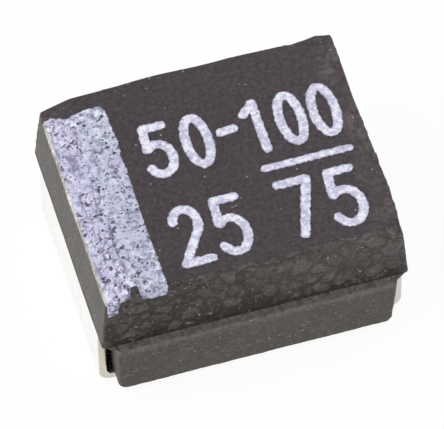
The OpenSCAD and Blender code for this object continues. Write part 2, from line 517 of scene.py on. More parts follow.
@dataclass(frozen=True)
class EpoxyFinish:
    """Dark filled epoxy: fine-grained on top, clotted on its walls."""

    name: str = "moulded_epoxy"
    top: Colour = (0.042, 0.033, 0.038)
    # plate and seam are the light and dark ends of the long walls' colour: painted light on plates
    # that stand out, painted shade in the seams between them.
    plate: Colour = (0.088, 0.075, 0.075)
    seam: Colour = (0.020, 0.016, 0.012)
    # Painted light: the ledge, and the wall just under it, are painted pale for the light that
    # falls on its upward face.
    ledge: Colour = (0.105, 0.093, 0.086)
    lower: Colour = (0.054, 0.045, 0.037)
    # End walls are lighter than the top: partly the epoxy's own tone, partly painted light for the
    # light that grazes them.
    end: Colour = (0.076, 0.069, 0.062)
    rough_strip: Colour = (0.088, 0.072, 0.073)
    # Painted highlight along the bevelled end's rounded top edge, where the light from the left
    # catches it.
    painted_edge_highlight: Colour = (0.62, 0.60, 0.56)
    speck: Colour = (0.17, 0.145, 0.125)
    grit: Colour = (0.48, 0.46, 0.43)
    # Painted shade: pits are darker than the epoxy, for the shade in their hollows.
    pit: Colour = (0.016, 0.013, 0.012)
    grain_dark: Colour = (0.36, 0.36, 0.34)
    grain_light: Colour = (1.64, 1.63, 1.65)
    roughness: float = 0.55

    def skin(self, form: "CaseForm", points: np.ndarray) -> np.ndarray:
        """Colours the case's points by where they lie and how they stand out.

        Plates that stand out are painted lighter than the seams between them,
        which carry painted shade. The long walls are painted lighter higher up
        and towards +X, so the wall darkens towards the parting plane, with a
        painted shade line in the crease there. The ledge under it is painted
        pale for the light on its upward face, the end walls are partly painted
        lighter for the light that grazes them, and a painted highlight runs
        along the bevelled end's top edge.

        Args:
            form: The case's form.
            points: Points on the plain form, one a row.

        Returns:
            One colour a row.
        """
        zone = form.zones(points)
        x, _, z = points.T
        above = z - form.parting
        plates, clots, broad = form.texture(points)
        # Painted light and shade: the long walls are lighter higher up and towards +X, so darker
        # near the parting plane, and lighter where plates and clots stand out than in the seams;
        # broad adds random tone.
        lit = smoothstep(0.02, 0.50, above) * 0.36 + smoothstep(-1.4, 1.4, x) * 0.36
        stands = np.clip(0.14 + lit + 0.50 * plates + 0.30 * clots + 0.25 * broad, 0.0, 1.0)
        wall = self._between(self.seam, self.plate, stands)
        lower = np.array(self.lower) * (1.0 + 0.22 * broad + 0.35 * clots)[:, None]
        colour = np.array(self.top) * (1.0 + 0.14 * broad + 0.05 * x)[:, None]
        end = np.array(self.end) * (1.0 + 0.15 * broad + 0.12 * clots)[:, None]
        roughened = np.clip(0.55 + 0.7 * clots + 0.4 * plates, 0, 1)
        steps = (
            (zone["lower"], lower),
            (zone["strip"] * roughened, self.rough_strip),
            (zone["wall"] * zone["long_side"], wall),
            # End walls: partly painted light for the light that grazes them.
            (zone["wall"] * (1.0 - zone["long_side"]), end),
            # Painted light on the ledge.
            (zone["ledge"], self.ledge),
            # Painted shade in the crease where the upper wall meets the ledge.
            (zone["crease"], self.seam),
            # Painted highlight on the bevelled end's top edge.
            (zone["edge_highlight"] * np.clip(0.8 + 0.5 * broad, 0, 1), self.painted_edge_highlight),
        )
        for share, over in steps:
            colour = colour + (np.asarray(over) - colour) * share[:, None]
        return np.clip(colour, 0.004, 1.0)

    def _between(self, first: Colour, second: Colour, share: np.ndarray) -> np.ndarray:
        """Blends two colours, one row for each share."""
        return np.array(first) + (np.array(second) - first) * share[:, None]

    def material(self) -> bpy.types.Material:
        """Builds the material.

        Fine grain goes over the skin colour, which holds the painted light and
        shade, with a few pale grains of filler and a few pits, painted dark as
        shade in their hollows. Below the top the filler shows as more specks.

        Returns:
            The material.
        """
        paint = Painter(self.name)
        skin = paint.kept("skin").outputs["Color"]
        grain = paint.cloud(0.05, 4.0, 0.75)
        fine = paint.cloud(0.012, 2.0, 0.6)
        wall = paint.axis("Z").ease(1.90, 1.84)
        specks = paint.cloud(0.045, 3.0, 0.7).ease(0.56, 0.70) * (wall * 0.75 + 0.18)
        scattered = paint.cloud(0.25, 1.0).ease(0.5, 0.6)
        grit = paint.cells(0.085).ease(0.17, 0.08) * scattered
        pits = paint.cells(0.11).ease(0.14, 0.08) * paint.cloud(0.4, 1.0).ease(0.45, 0.6)
        shade = paint.mix(grain.ease(0.2, 0.8), self.grain_dark, self.grain_light)
        grained = paint.node(
            "ShaderNodeMix",
            {"data_type": "RGBA", "blend_type": "MULTIPLY"},
            {0: 1.0, 6: skin, 7: shade},
        ).outputs[2]
        colour = paint.mix(specks, grained, self.speck)
        colour = paint.mix(grit * 0.6, colour, self.grit)
        # Painted shade in the pits.
        colour = paint.mix(pits * 0.7, colour, self.pit)
        paint.surface.inputs["Specular IOR Level"].default_value = 0.35
        return paint.set(
            base_color=colour,
            roughness=grain * 0.2 + (self.roughness - 0.1),
            normal=paint.bump(grain * 0.6 + fine * 0.3 + grit * 0.4 - pits * 0.6, 0.010),
        )


@dataclass(frozen=True)
class MarkFinish:
    """Pale lavender marking, broken where it missed the pores.

    The film keeps on its points how far in from its outline they lie, and it
    thins out towards the outline.
    """

    name: str = "pale_mark"
    pale: Colour = (0.50, 0.49, 0.64)
    white: Colour = (0.84, 0.83, 0.93)
    thin: Colour = (0.16, 0.15, 0.24)
    bare: Colour = (0.035, 0.030, 0.055)
    rim: float = 0.020
    cloudy: float = 0.40
    pored: float = 0.45
    whitened: float = 0.9

    def material(self) -> bpy.types.Material:
        """Builds the material.

        Returns:
            The material.
        """
        paint = Painter(self.name)
        inset = Signal(paint, paint.kept("inset").outputs["Fac"])
        cloud = paint.cloud(0.055, 4.0, 0.65)
        fine = paint.cloud(0.026, 3.0, 0.7)
        broad = paint.cloud(0.30, 2.0)
        colour = paint.mix(cloud.ease(0.42, 0.60) * self.whitened, self.pale, self.white)
        colour = paint.mix(fine.ease(0.47, 0.33) * self.cloudy, colour, self.thin)
        colour = paint.mix(inset.ease(self.rim, -0.004) * 0.75, colour, self.thin)
        pores = paint.cells(0.075).ease(0.24, 0.13) * broad.ease(0.40, 0.60) * self.pored
        colour = paint.mix(pores.least(1.0), colour, self.bare)
        return paint.set(
            base_color=colour,
            roughness=cloud * 0.2 + 0.45,
            normal=paint.bump(cloud * 0.6 + fine * 0.4 - pores, 0.007),
        )


@dataclass(frozen=True)
class BandFinish(MarkFinish):
    """The same marking on the band: worn, streaked and full of pores."""

    name: str = "worn_band"
    pale: Colour = (0.50, 0.49, 0.66)
    cool: Colour = (0.49, 0.53, 0.65)
    fold: float = -1.36
    streak: Colour = (0.17, 0.155, 0.26)

    def material(self) -> bpy.types.Material:
        """Builds the material.

        Streaks run along the bevel and along its fold. Beside the fold the
        mark is cooler and fuller. White clumps lie near the back.

        Returns:
            The material.
        """
        paint = Painter(self.name)
        inset = Signal(paint, paint.kept("inset").outputs["Fac"])
        x, y = paint.axis("X"), paint.axis("Y")
        cloud = paint.cloud(0.07, 4.0, 0.65)
        fine = paint.cloud(0.060, 3.0, 0.7)
        broad = paint.cloud(0.26, 2.0)
        drawn = paint.cloud(0.055, 3.0, 0.6, paint.stretched((1.0, 0.16, 1.0)))
        bevel = x.ease(self.fold + 0.05, self.fold - 0.04)
        beside = (x - self.fold - 0.02 * y) * (1.0 / 0.035)
        fold = (1.0 - (beside * beside).least(1.0)) * y.ease(0.1, -0.5)
        colour = paint.mix(broad.ease(0.38, 0.62) * (1.0 - bevel), self.pale, self.cool)
        clumped = 0.45 + 0.5 * y.ease(0.55, 1.0) + 0.25 * y.ease(-0.6, -1.1)
        white = cloud.ease(0.50, 0.64) * clumped
        colour = paint.mix(white.least(1.0), colour, self.white)
        streaks = drawn.ease(0.48, 0.36) * (bevel * 0.55 + 0.15)
        streaks = streaks + fold * drawn.ease(0.62, 0.42) * 0.6
        colour = paint.mix(streaks.least(1.0), colour, self.streak)
        thin = fine.ease(0.52, 0.39) * (0.72 + 0.12 * bevel)
        colour = paint.mix(thin, colour, self.thin)
        crowded = 0.65 + 0.35 * broad.ease(0.36, 0.56)
        pores = paint.cloud(0.055, 2.0, 0.6).ease(0.395, 0.33) * crowded
        pores = pores.most(paint.cloud(0.10, 2.0, 0.6).ease(0.36, 0.30)) * 0.95
        colour = paint.mix(pores, colour, self.bare)
        colour = paint.mix(inset.ease(self.rim, -0.004) * fine.ease(0.62, 0.42), colour, self.thin)
        return paint.set(
            base_color=colour,
            roughness=cloud * 0.25 + 0.40,
            normal=paint.bump(cloud * 0.5 + fine * 0.5 - pores - streaks * 0.4, 0.012),
        )


@dataclass(frozen=True)
class MetalFinish:
    """Plated or drawn metal, with cloudy colour and a fine grain."""

    name: str
    bright: Colour
    dull: Colour
    roughness: float = 0.42
    grain: float = 0.03
    drawn: tuple[float, float, float] = (1.0, 1.0, 1.0)
    depth: float = 0.003
    cut: Colour | None = None
    cut_from: float = 0.0

    def material(self) -> bpy.types.Material:
        """Builds the material.

        Where the metal was cut, at both sides of the part, its plating is
        thinner and the colour duller.

        Returns:
            The material.
        """
        paint = Painter(self.name)
        place = paint.stretched(self.drawn)
        grain = paint.cloud(self.grain, 4.0, 0.6, place)
        broad = paint.cloud(0.25, 3.0)
        colour = paint.mix(broad.ease(0.35, 0.65), self.bright, self.dull)
        if self.cut is not None:
            y = paint.axis("Y")
            outer = y.most(y * -1.0).ease(self.cut_from - 0.006, self.cut_from + 0.002)
            colour = paint.mix(outer * (0.7 + 0.3 * grain), colour, self.cut)
        return paint.set(
            base_color=colour,
            metallic=1.0,
            roughness=grain * 0.25 + (self.roughness - 0.12),
            normal=paint.bump(grain, self.depth),
        )


@dataclass(frozen=True)
class PowderFinish:
    """A pressed, fired or painted layer: matt, grainy and unevenly coloured."""

    name: str
    colour: Colour
    grains: Colour
    roughness: float = 0.8
    grain: float = 0.02
    depth: float = 0.006
    metallic: float = 0.0

    def material(self) -> bpy.types.Material:
        """Builds the material.

        Returns:
            The material.
        """
        paint = Painter(self.name)
        grain = paint.cloud(self.grain, 3.0, 0.65)
        broad = paint.cloud(0.3, 3.0)
        colour = paint.mix(grain.ease(0.45, 0.65) * broad, self.colour, self.grains)
        return paint.set(
            base_color=colour,
            metallic=self.metallic,
            roughness=grain * 0.2 + (self.roughness - 0.1),
            normal=paint.bump(grain, self.depth),
        )


# ---------------------------------------------------------------------------
# The case
# ---------------------------------------------------------------------------


@dataclass
class CaseForm:
    """Form of the moulded case, in millimetres.

    The sizes that the frame shows come from its boxes. Each half is a block
    with leaning walls and small radii, and the two meet on the parting plane.
    """

    end: float
    ledge_side: float
    height: float
    underside: float
    parting: float
    end_lean: float = 0.0716
    side_lean: float = 0.0487
    side_ledge: float = 0.09
    end_setback: float = 0.15
    lower_end_lean: float = 0.0304
    lower_side_lean: float = 0.0761
    top_radius: float = 0.03
    bottom_radius: float = 0.04
    rim_radius: float = 0.012
    rim_corner: float = 0.045
    top_corner: float = 0.032
    bevel_length: float = 0.32
    bevel_drop: float = 0.12
    bevel_soft: float = 0.10

    @classmethod
    def from_frame(cls) -> "CaseForm":
        """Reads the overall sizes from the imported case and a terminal."""
        low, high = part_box("moulded_case")
        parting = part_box("anode_terminal")[1].z
        return cls(high.x / MM, high.y / MM, high.z / MM, low.z / MM, parting / MM)

    @property
    def side(self) -> float:
        """Half the upper half's width on the parting plane."""
        return self.ledge_side - self.side_ledge

    @property
    def top_end(self) -> float:
        """Half the top's length, over its rounded edges."""
        return self.end - self.end_lean

    @property
    def top_side(self) -> float:
        """Half the top's width, over its rounded edges."""
        return self.side - self.side_lean

    def drop(self, x: np.ndarray) -> np.ndarray:
        """How far the bevel lowers the top.

        It is a ramp that reaches its full drop where the anode end's rounded
        edge starts, with a soft fold at its other side.

        Args:
            x: Places along the part.

        Returns:
            The drop at each place.
        """
        fold = -(self.top_end - self.top_radius) + self.bevel_length
        ramp = (fold - x) / self.bevel_length
        soft = self.bevel_soft
        eased = 0.5 * (ramp + np.sqrt(ramp**2 + soft**2)) - 0.5 * soft**2
        return self.bevel_drop * np.clip(eased, 0.0, 1.0)

    def zones(self, points: np.ndarray) -> dict[str, np.ndarray]:
        """Tells how much each point belongs to each part of the case's skin.

        Args:
            points: Points on the plain form, one a row.

        Returns:
            Shares from 0 to 1: the upper wall, the long sides, the top, its
            rough end strip, the lower half, the ledge, which is painted pale for
            the light on it, the crease over it, which carries painted shade, and
            the edge at the bevelled end, which carries a painted highlight.
        """
        x, y, z = points.T
        above = z - self.parting
        under_top = self.height - self.drop(x) - z
        share = np.clip(above / (self.height - self.parting), 0.0, 1.0)
        to_end = self.end - self.end_lean * share - np.abs(x)
        to_side = self.side - self.side_lean * share - np.abs(y)
        top = smoothstep(0.06, 0.01, under_top)
        upper = (above > -0.001).astype(float)
        near = smoothstep(-self.top_end + 0.040, -self.top_end + 0.020, x)
        return {
            "wall": upper * (1.0 - top),
            "long_side": smoothstep(-0.05, 0.05, to_end - to_side),
            "top": top,
            "strip": top * smoothstep(1.34, 1.56, x + 0.05 * np.sin(9.0 * y)),
            "lower": 1.0 - upper,
            "ledge": smoothstep(-0.15, -0.01, above) * smoothstep(0.022, 0.004, above),
            # Painted shade just above the parting plane.
            "crease": smoothstep(0.10, 0.03, above) * smoothstep(0.008, 0.022, above) * 0.7,
            # Where the painted highlight goes, on the bevelled end's top edge.
            "edge_highlight": near * smoothstep(0.085, 0.045, under_top) * (y < 1.18),
        }

    def texture(self, points: np.ndarray) -> tuple[np.ndarray, np.ndarray, np.ndarray]:
        """Gives the skin's plates, its clots and its broad unevenness."""
        bent = points + 0.03 * SKIN.at(points, 0.12)[:, None]
        return SKIN.plates(bent, 0.20), SKIN.billow(points, 0.11, 3), SKIN.fractal(points, 0.5, 3)

    def relief(self, points: np.ndarray) -> np.ndarray:
        """How far the moulded skin stands out from the plain form.

        The long upper walls and the end strip of the top carry plates and
        clots, the end walls and the lower half are almost smooth, and the
        flat top is the smoothest.

        Args:
            points: Points on the plain form, one a row.

        Returns:
            One distance a point, outwards.
        """
        zone = self.zones(points)
        plates, clots, broad = self.texture(points)
        ripple = SKIN.fractal(points, 0.05, 2)
        above = points[:, 2] - self.parting
        wall = zone["wall"] * smoothstep(0.02, 0.12, above)
        side = wall * zone["long_side"]
        edge = 4.0 * zone["top"] * (1.0 - zone["top"])
        rough = 0.009 * plates + 0.013 * clots + 0.004 * ripple
        return (
            rough * np.clip(side + 0.8 * zone["strip"] + 0.6 * edge, 0.0, 1.0)
            + 0.010 * edge * SKIN.fractal(points, 0.22, 3)
            + 0.004 * clots * (wall + zone["lower"])
            + 0.006 * broad * (1.0 - zone["top"])
            + 0.0008 * ripple * zone["top"]
            - 0.003
            - 0.006 * zone["top"]
            - self.wear(points)
        )

    def wear(self, points: np.ndarray) -> np.ndarray:
        """How deep the corners are worn, or how far a lump stands out.

        Args:
            points: Points on the plain form, one a row.

        Returns:
            One depth a point: each spot's depth times exp(-(distance/reach)^2).
            A spot is written as its place, its reach and its depth.
        """
        depth = np.zeros(len(points))
        top, parting = self.height, self.parting
        spots = (
            (self.top_end, -self.top_side, top, 0.13, 0.040),
            (self.top_end, -0.75, top, 0.20, -0.014),
            (self.top_end, 0.45, top, 0.30, 0.012),
            (1.50, self.top_side, top, 0.10, -0.022),
            (1.20, self.top_side, top, 0.08, 0.010),
            (-0.35, self.top_side, top, 0.45, -0.022),
            (0.55, self.top_side, top, 0.35, -0.012),
            (-self.top_end, -self.top_side, top - self.bevel_drop, 0.08, 0.012),
            (self.end - self.end_setback, -self.ledge_side, parting - 0.7, 0.10, 0.012),
        )
        for x, y, z, reach, deep in spots:
            away = np.linalg.norm(points - (x, y, z), axis=1)
            depth += deep * np.exp(-((away / reach) ** 2))
        return depth


SKIN = Relief(11)
EDGE = Relief(23)


@dataclass
class Station:
    """One ring of the case: a rounded rectangle at one height."""

    level: float
    half_length: float
    half_width: float
    corner: float
    bevel: float = 0.0

    def towards(self, other: "Station", shares: np.ndarray) -> list["Station"]:
        """Blends evenly from this ring to another.

        Args:
            other: The ring at a share of 1.
            shares: How far along each new ring lies.

        Returns:
            One ring for each share.
        """
        first, last = np.array(astuple(self)), np.array(astuple(other))
        return [Station(*(first + (last - first) * share)) for share in shares]

    def bend(
        self, radius: float, angles: np.ndarray, upward: bool, turned: float = 1.0
    ) -> list["Station"]:
        """Goes round an edge from this ring, along an arc.

        Args:
            radius: The arc's radius.
            angles: How far round the arc each new ring lies.
            upward: Whether the arc sets out upwards and turns inwards. If not,
                it sets out outwards and turns upwards.
            turned: How much of the step outwards the corners' radius takes.

        Returns:
            One ring for each angle.
        """
        rings = []
        for ahead, aside in zip(radius * np.sin(angles), radius * (1.0 - np.cos(angles))):
            out, up = (-aside, ahead) if upward else (ahead, aside)
            rings.append(
                Station(
                    self.level + up,
                    self.half_length + out,
                    self.half_width + out,
                    self.corner + out * turned,
                    self.bevel,
                )
            )
        return rings


@dataclass
class MouldedCase:
    """The epoxy case, as rings from the middle of its underside to its top."""

    form: CaseForm
    finish: EpoxyFinish
    along: int = 150
    across: int = 112
    corner_steps: int = 6
    underside_rings: int = 12
    lower_rings: int = 26
    ledge_rings: int = 6
    upper_rings: int = 59
    top_rings: int = 45
    foot_corner: float = 0.05

    def _outline(self, station: Station) -> np.ndarray:
        """Works out one ring.

        A corner is a quarter circle, and a side is a straight run of evenly
        spaced points. All rings have the same number of points, and they run
        anticlockwise from the +X side.

        Args:
            station: The ring's size and height.

        Returns:
            The ring's points, one a row.
        """
        turn = np.linspace(0.0, math.pi / 2, self.corner_steps)
        corner = station.corner
        straight_x = station.half_length - corner
        straight_y = station.half_width - corner
        pieces = []
        corners = ((1.0, 1.0), (-1.0, 1.0), (-1.0, -1.0), (1.0, -1.0))
        for quarter, signs in enumerate(corners):
            angle = turn + quarter * math.pi / 2
            middle = np.array(signs) * (straight_x, straight_y)
            bend = middle + corner * np.stack([np.cos(angle), np.sin(angle)], axis=1)
            lengthwise = quarter % 2 == 0
            ahead = -2.0 * middle * ((1.0, 0.0) if lengthwise else (0.0, 1.0))
            steps = self.along if lengthwise else self.across
            share = np.linspace(0.0, 1.0, steps + 2)[1:-1, None]
            pieces += [bend, bend[-1] + ahead * share]
        flat = np.concatenate(pieces)
        level = station.level - station.bevel * self.form.drop(flat[:, 0])
        return np.column_stack([flat, level])

    def _stations(self) -> list[Station]:
        """Lists the rings from the underside's middle to the top's middle."""
        form = self.form
        low, rim, top = form.bottom_radius, form.rim_radius, form.top_radius
        low_end = form.end - form.end_setback
        foot_end = low_end - form.lower_end_lean
        foot_side = form.ledge_side - form.lower_side_lean
        turned = form.rim_corner
        middle = Station(form.underside, 0.0, 0.0, 0.0)
        foot = Station(form.underside, foot_end - low, foot_side - low, self.foot_corner)
        heel = Station(form.underside + low, foot_end, foot_side, turned)
        lip = Station(form.parting - rim, low_end, form.ledge_side, turned)
        ledge = Station(form.parting, low_end - rim, form.ledge_side - rim, turned)
        inner = Station(form.parting, form.end - rim, form.side - rim, turned)
        wall = Station(form.parting + rim, form.end, form.side, turned)
        brow = Station(form.height - top, form.top_end, form.top_side, form.top_corner, 1.0)
        brim = Station(
            form.height, form.top_end - top, form.top_side - top, form.top_corner - top, 1.0
        )
        peak = Station(form.height, 0.0, 0.0, 0.0, 1.0)
        quarter = math.pi / 2
        small_turn = np.linspace(0.0, quarter, 4)[1:]
        inwards = 1.0 - self._shares(self.top_rings) ** 1.2 * 0.98
        return [
            *middle.towards(foot, np.linspace(0.05, 0.97, self.underside_rings)),
            *foot.bend(low, np.linspace(0.0, quarter, 7), upward=False),
            *heel.towards(lip, self._shares(self.lower_rings)),
            *lip.bend(rim, small_turn, upward=True, turned=0.0),
            *ledge.towards(inner, self._shares(self.ledge_rings)),
            *inner.bend(rim, small_turn, upward=False, turned=0.0),
            *wall.towards(brow, self._shares(self.upper_rings)),
            *brow.bend(top, np.linspace(0.0, quarter, 8)[1:], upward=True),
            *peak.towards(brim, inwards),
        ]

    def _shares(self, count: int) -> np.ndarray:
        """Gives even shares from just past 0 up to 1."""
        return np.linspace(0.0, 1.0, count + 1)[1:]

    def build(self) -> bpy.types.Object:
        """Builds the case and puts its skin on.

        Normals are the cross product of the steps along and across the rings.
        Each point moves along its normal by the form's relief.

        Returns:
            The case.
        """
        rings = np.stack([self._outline(station) for station in self._stations()])
        around = rings.shape[1]
        step = np.roll(rings, -1, axis=1) - np.roll(rings, 1, axis=1)
        climb = np.gradient(rings, axis=0)
        normal = np.cross(step, climb)
        normal /= np.maximum(np.linalg.norm(normal, axis=2, keepdims=True), 1e-12)
        points = rings.reshape(-1, 3)
        relief = self.form.relief(points)[:, None]
        colour = self.finish.skin(self.form, points)
        limit = np.array([self.form.end, self.form.ledge_side, self.form.height])
        points = np.clip(points + normal.reshape(-1, 3) * relief, -limit, limit)
        low = points[:around].mean(axis=0)
        high = points[-around:].mean(axis=0)
        points = np.vstack([points, low, high])
        colour = np.vstack([colour, colour[0], colour[-1]])
        faces = np.vstack(
            [
                ring_faces(len(rings), around),
                cap_faces(0, around, len(points) - 2, up=False),
                cap_faces((len(rings) - 1) * around, around, len(points) - 1, up=True),
            ]
        )
        case = new_mesh("epoxy_case", points, faces)
        paint_points(case, "skin", colour)
        case.data.materials.append(self.finish.material())
        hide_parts("moulded_case")
        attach(case, ROOT_BODY)
        return case


# ---------------------------------------------------------------------------
# The marks
# ---------------------------------------------------------------------------


@dataclass(frozen=True)
class Line:
    """A straight pen stroke in a numeral's cell."""

    start: tuple[float, float]
    stop: tuple[float, float]

    def path(self) -> np.ndarray:
        """Gives the stroke's two ends."""
        return np.array([self.start, self.stop])


@dataclass(frozen=True)
class Arc:
    """A pen stroke along part of an ellipse, in a numeral's cell."""

    centre: tuple[float, float]
    radii: tuple[float, float]
    start: float = 0.0
    stop: float = 360.0
    steps: int = 28

    def path(self) -> np.ndarray:
        """Gives points along the arc, by the cosine and sine of its angle."""
        angle = np.radians(np.linspace(self.start, self.stop, self.steps))
        around = np.stack([np.cos(angle), np.sin(angle)], axis=1)
        return np.array(self.centre) + around * self.radii


class Numeral(Enum):
    """Plain numerals as pen strokes, in a cell one wide and one high."""

    ZERO = (Arc((0.5, 0.5), (0.46, 0.5)),)
    ONE = (Line((0.62, 1.0), (0.62, 0.0)), Line((0.62, 1.0), (0.12, 0.80)))
    TWO = (
        Arc((0.48, 0.73), (0.45, 0.27), 165.0, -38.0, 18),
        Line((0.84, 0.57), (0.03, 0.0)),
        Line((0.03, 0.0), (1.0, 0.0)),
    )
    FIVE = (
        Line((0.9, 1.0), (0.16, 1.0)),
        Line((0.16, 1.0), (0.1, 0.57)),
        Arc((0.46, 0.32), (0.5, 0.32), 130.0, -150.0, 20),
    )
    SEVEN = (Line((0.0, 1.0), (0.98, 1.0)), Line((0.98, 1.0), (0.34, 0.0)))


@dataclass
class Mark:
    """A thin marked film that follows the case's skin.

    A film is the part of a fine grid where the distance to its outline is
    negative. The grid's outer points are pulled onto the outline.
    """

    form: CaseForm
    pitch: float = 0.009
    film: float = 0.005
    ragged: float = 0.010

    def _distance(self, x: np.ndarray, y: np.ndarray, path: np.ndarray) -> np.ndarray:
        """Measures the distance from each grid point to a chain of segments."""
        spot = np.stack([x.ravel(), y.ravel()], axis=1)[:, None, :]
        start, step = path[:-1], np.diff(path, axis=0)
        length = np.maximum(np.sum(step**2, axis=1), 1e-12)
        share = np.clip(np.sum((spot - start) * step, axis=2) / length, 0.0, 1.0)
        away = np.linalg.norm(spot - start - share[..., None] * step, axis=2)
        return away.min(axis=1).reshape(x.shape)

    def _lay(self, x: np.ndarray, run: np.ndarray) -> tuple[np.ndarray, np.ndarray]:
        """Lays flat places on the case's top and down its front wall.

        A run up to the front edge is a place across the top. Past it, the run
        turns round the edge's radius and goes down the leaning wall.

        Args:
            x: Places along the part.
            run: Distances from the middle towards the front, over the edge.

        Returns:
            The points on the plain form, and the normals there.
        """
        form = self.form
        radius = form.top_radius
        flat_end = form.top_side - radius
        over = np.clip((run - flat_end) / radius, 0.0, math.pi / 2)
        down = np.maximum(run - flat_end - radius * math.pi / 2, 0.0)
        wall_height = form.height - form.drop(x) - radius - form.parting
        lean = form.side_lean / wall_height
        past_end = np.maximum(-(form.top_end - radius) - x, 0.0)
        sink = radius - np.sqrt(np.maximum(radius**2 - past_end**2, 0.0))
        y = -(np.minimum(run, flat_end) + radius * np.sin(over) + down * lean)
        z = form.height - form.drop(x) - radius * (1.0 - np.cos(over)) - down - sink
        points = np.stack([x, y, z], axis=-1)
        tilt = np.stack([-past_end / radius, -np.sin(over), np.cos(over)], axis=-1)
        return points, tilt / np.linalg.norm(tilt, axis=-1, keepdims=True)

    def _film(
        self, name: str, x: np.ndarray, run: np.ndarray, depth: np.ndarray
    ) -> bpy.types.Object:
        """Cuts the film out of a grid and lays it on the case.

        Args:
            name: The piece's name.
            x: Places along the part, as a grid.
            run: Distances towards the front, as a grid.
            depth: Distance to the film's outline, as a grid, negative inside.

        Returns:
            The film.
        """
        slope_x, slope_run = np.gradient(depth, self.pitch)
        slope = np.maximum(slope_x**2 + slope_run**2, 0.05)
        pull = np.where(depth > 0.0, depth / slope, 0.0)
        reach = 0.9 * self.pitch
        x = x - np.clip(pull * slope_x, -reach, reach)
        run = run - np.clip(pull * slope_run, -reach, reach)
        inside = depth < 0.0
        cell = inside[:-1, :-1] | inside[1:, :-1] | inside[1:, 1:] | inside[:-1, 1:]
        number = np.arange(depth.size).reshape(depth.shape)
        corners = (number[:-1, :-1], number[:-1, 1:], number[1:, 1:], number[1:, :-1])
        faces = np.stack([corner[cell] for corner in corners], axis=1)
        used, faces = np.unique(faces, return_inverse=True)
        faces = faces.reshape(-1, 4)
        points, normal = self._lay(x.ravel()[used], run.ravel()[used])
        lift = self.form.relief(points) + self.film
        points = points + normal * lift[:, None]
        points[:, 2] = np.minimum(points[:, 2], self.form.height - 0.001)
        film = new_mesh(name, points, faces)
        paint_points(film, "inset", np.maximum(-depth.ravel()[used], 0.0))
        wall = film.modifiers.new("thickness", "SOLIDIFY")
        wall.thickness = 2.0 * self.film * MM
        wall.offset = -1.0
        return film

    def _roughen(self, x: np.ndarray, run: np.ndarray, depth: np.ndarray) -> np.ndarray:
        """Makes an outline ragged with two sizes of noise."""
        flat = np.stack([x.ravel(), run.ravel(), np.zeros(x.size)], axis=1)
        rough = EDGE.at(flat, 0.05) + 0.6 * EDGE.at(flat, 0.02)
        return depth + self.ragged * rough.reshape(x.shape)


@dataclass
class PolarityBand(Mark):
    """The band along the bevelled end, with its uneven front."""

    finish: MarkFinish = field(default_factory=BandFinish)
    outer_edge: float = -1.660
    over_top: tuple[tuple[float, float], ...] = (
        (-1.72, -1.19),
        (-1.57, -1.17),
        (-1.43, -1.08),
        (-1.20, -1.11),
        (-1.03, -1.11),
        (-1.00, -1.04),
        (-0.985, -0.69),
        (-0.977, -0.46),
        (-1.005, -0.45),
        (-0.987, -0.20),
        (-1.000, 0.50),
        (-0.986, 1.20),
    )
    past_edge: tuple[tuple[float, float], ...] = (
        (-0.975, 0.10),
        (-0.985, 0.185),
        (-1.003, 0.235),
        (-1.15, 0.225),
        (-1.24, 0.205),
        (-1.281, 0.135),
        (-1.299, 0.020),
        (-1.303, -0.055),
        (-1.381, -0.060),
        (-1.388, -0.020),
        (-1.404, 0.105),
        (-1.518, 0.110),
        (-1.540, 0.262),
        (-1.604, 0.262),
        (-1.72, 0.240),
    )

    def build(self) -> bpy.types.Object:
        """Builds the band.

        Its outline is a polygon over the top and past the front edge, with a
        bare notch at the bevel's fold. The depth is the distance to the
        outline, and it is negative where a ray crosses the outline an odd
        number of times.

        Returns:
            The band.
        """
        edge = self.form.top_side - 0.43 * self.form.top_radius
        past = [(x, edge + down) for x, down in self.past_edge]
        outline = np.array([*self.over_top, *past, self.over_top[0]])
        low, high = outline.min(axis=0), outline.max(axis=0)
        along = np.arange(self.outer_edge, high[0] + 0.03, self.pitch)
        runs = np.arange(low[1] - 0.03, high[1] + 0.03, self.pitch)
        x, run = np.meshgrid(along, runs, indexing="ij")
        start, stop = outline[:-1, :, None], outline[1:, :, None]
        flat = run.ravel()[None, :]
        rise = np.where(stop[:, 1] == start[:, 1], 1e-9, stop[:, 1] - start[:, 1])
        crossing = start[:, 0] + (flat - start[:, 1]) / rise * (stop[:, 0] - start[:, 0])
        crosses = ((start[:, 1] > flat) != (stop[:, 1] > flat)) & (x.ravel() < crossing)
        inside = (crosses.sum(axis=0) % 2 == 1).reshape(x.shape)
        depth = np.where(inside, -1.0, 1.0) * self._distance(x, run, outline)
        depth = self._roughen(x, run, depth)
        band = self._film("band_mark", x, run, depth)
        band.data.materials.append(self.finish.material())
        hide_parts("polarity_band")
        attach(band, ROOT_BODY)
        return band


@dataclass(frozen=True)
class Place:
    """A numeral's cell on the top: its left, its base and its size."""

    numeral: Numeral
    left: float
    base: float
    width: float
    height: float

    def strokes(self) -> list[np.ndarray]:
        """Gives the numeral's strokes where they lie on the top."""
        size = np.array([self.width, self.height])
        corner = np.array([self.left, self.base])
        return [corner + stroke.path() * size for stroke in self.numeral.value]


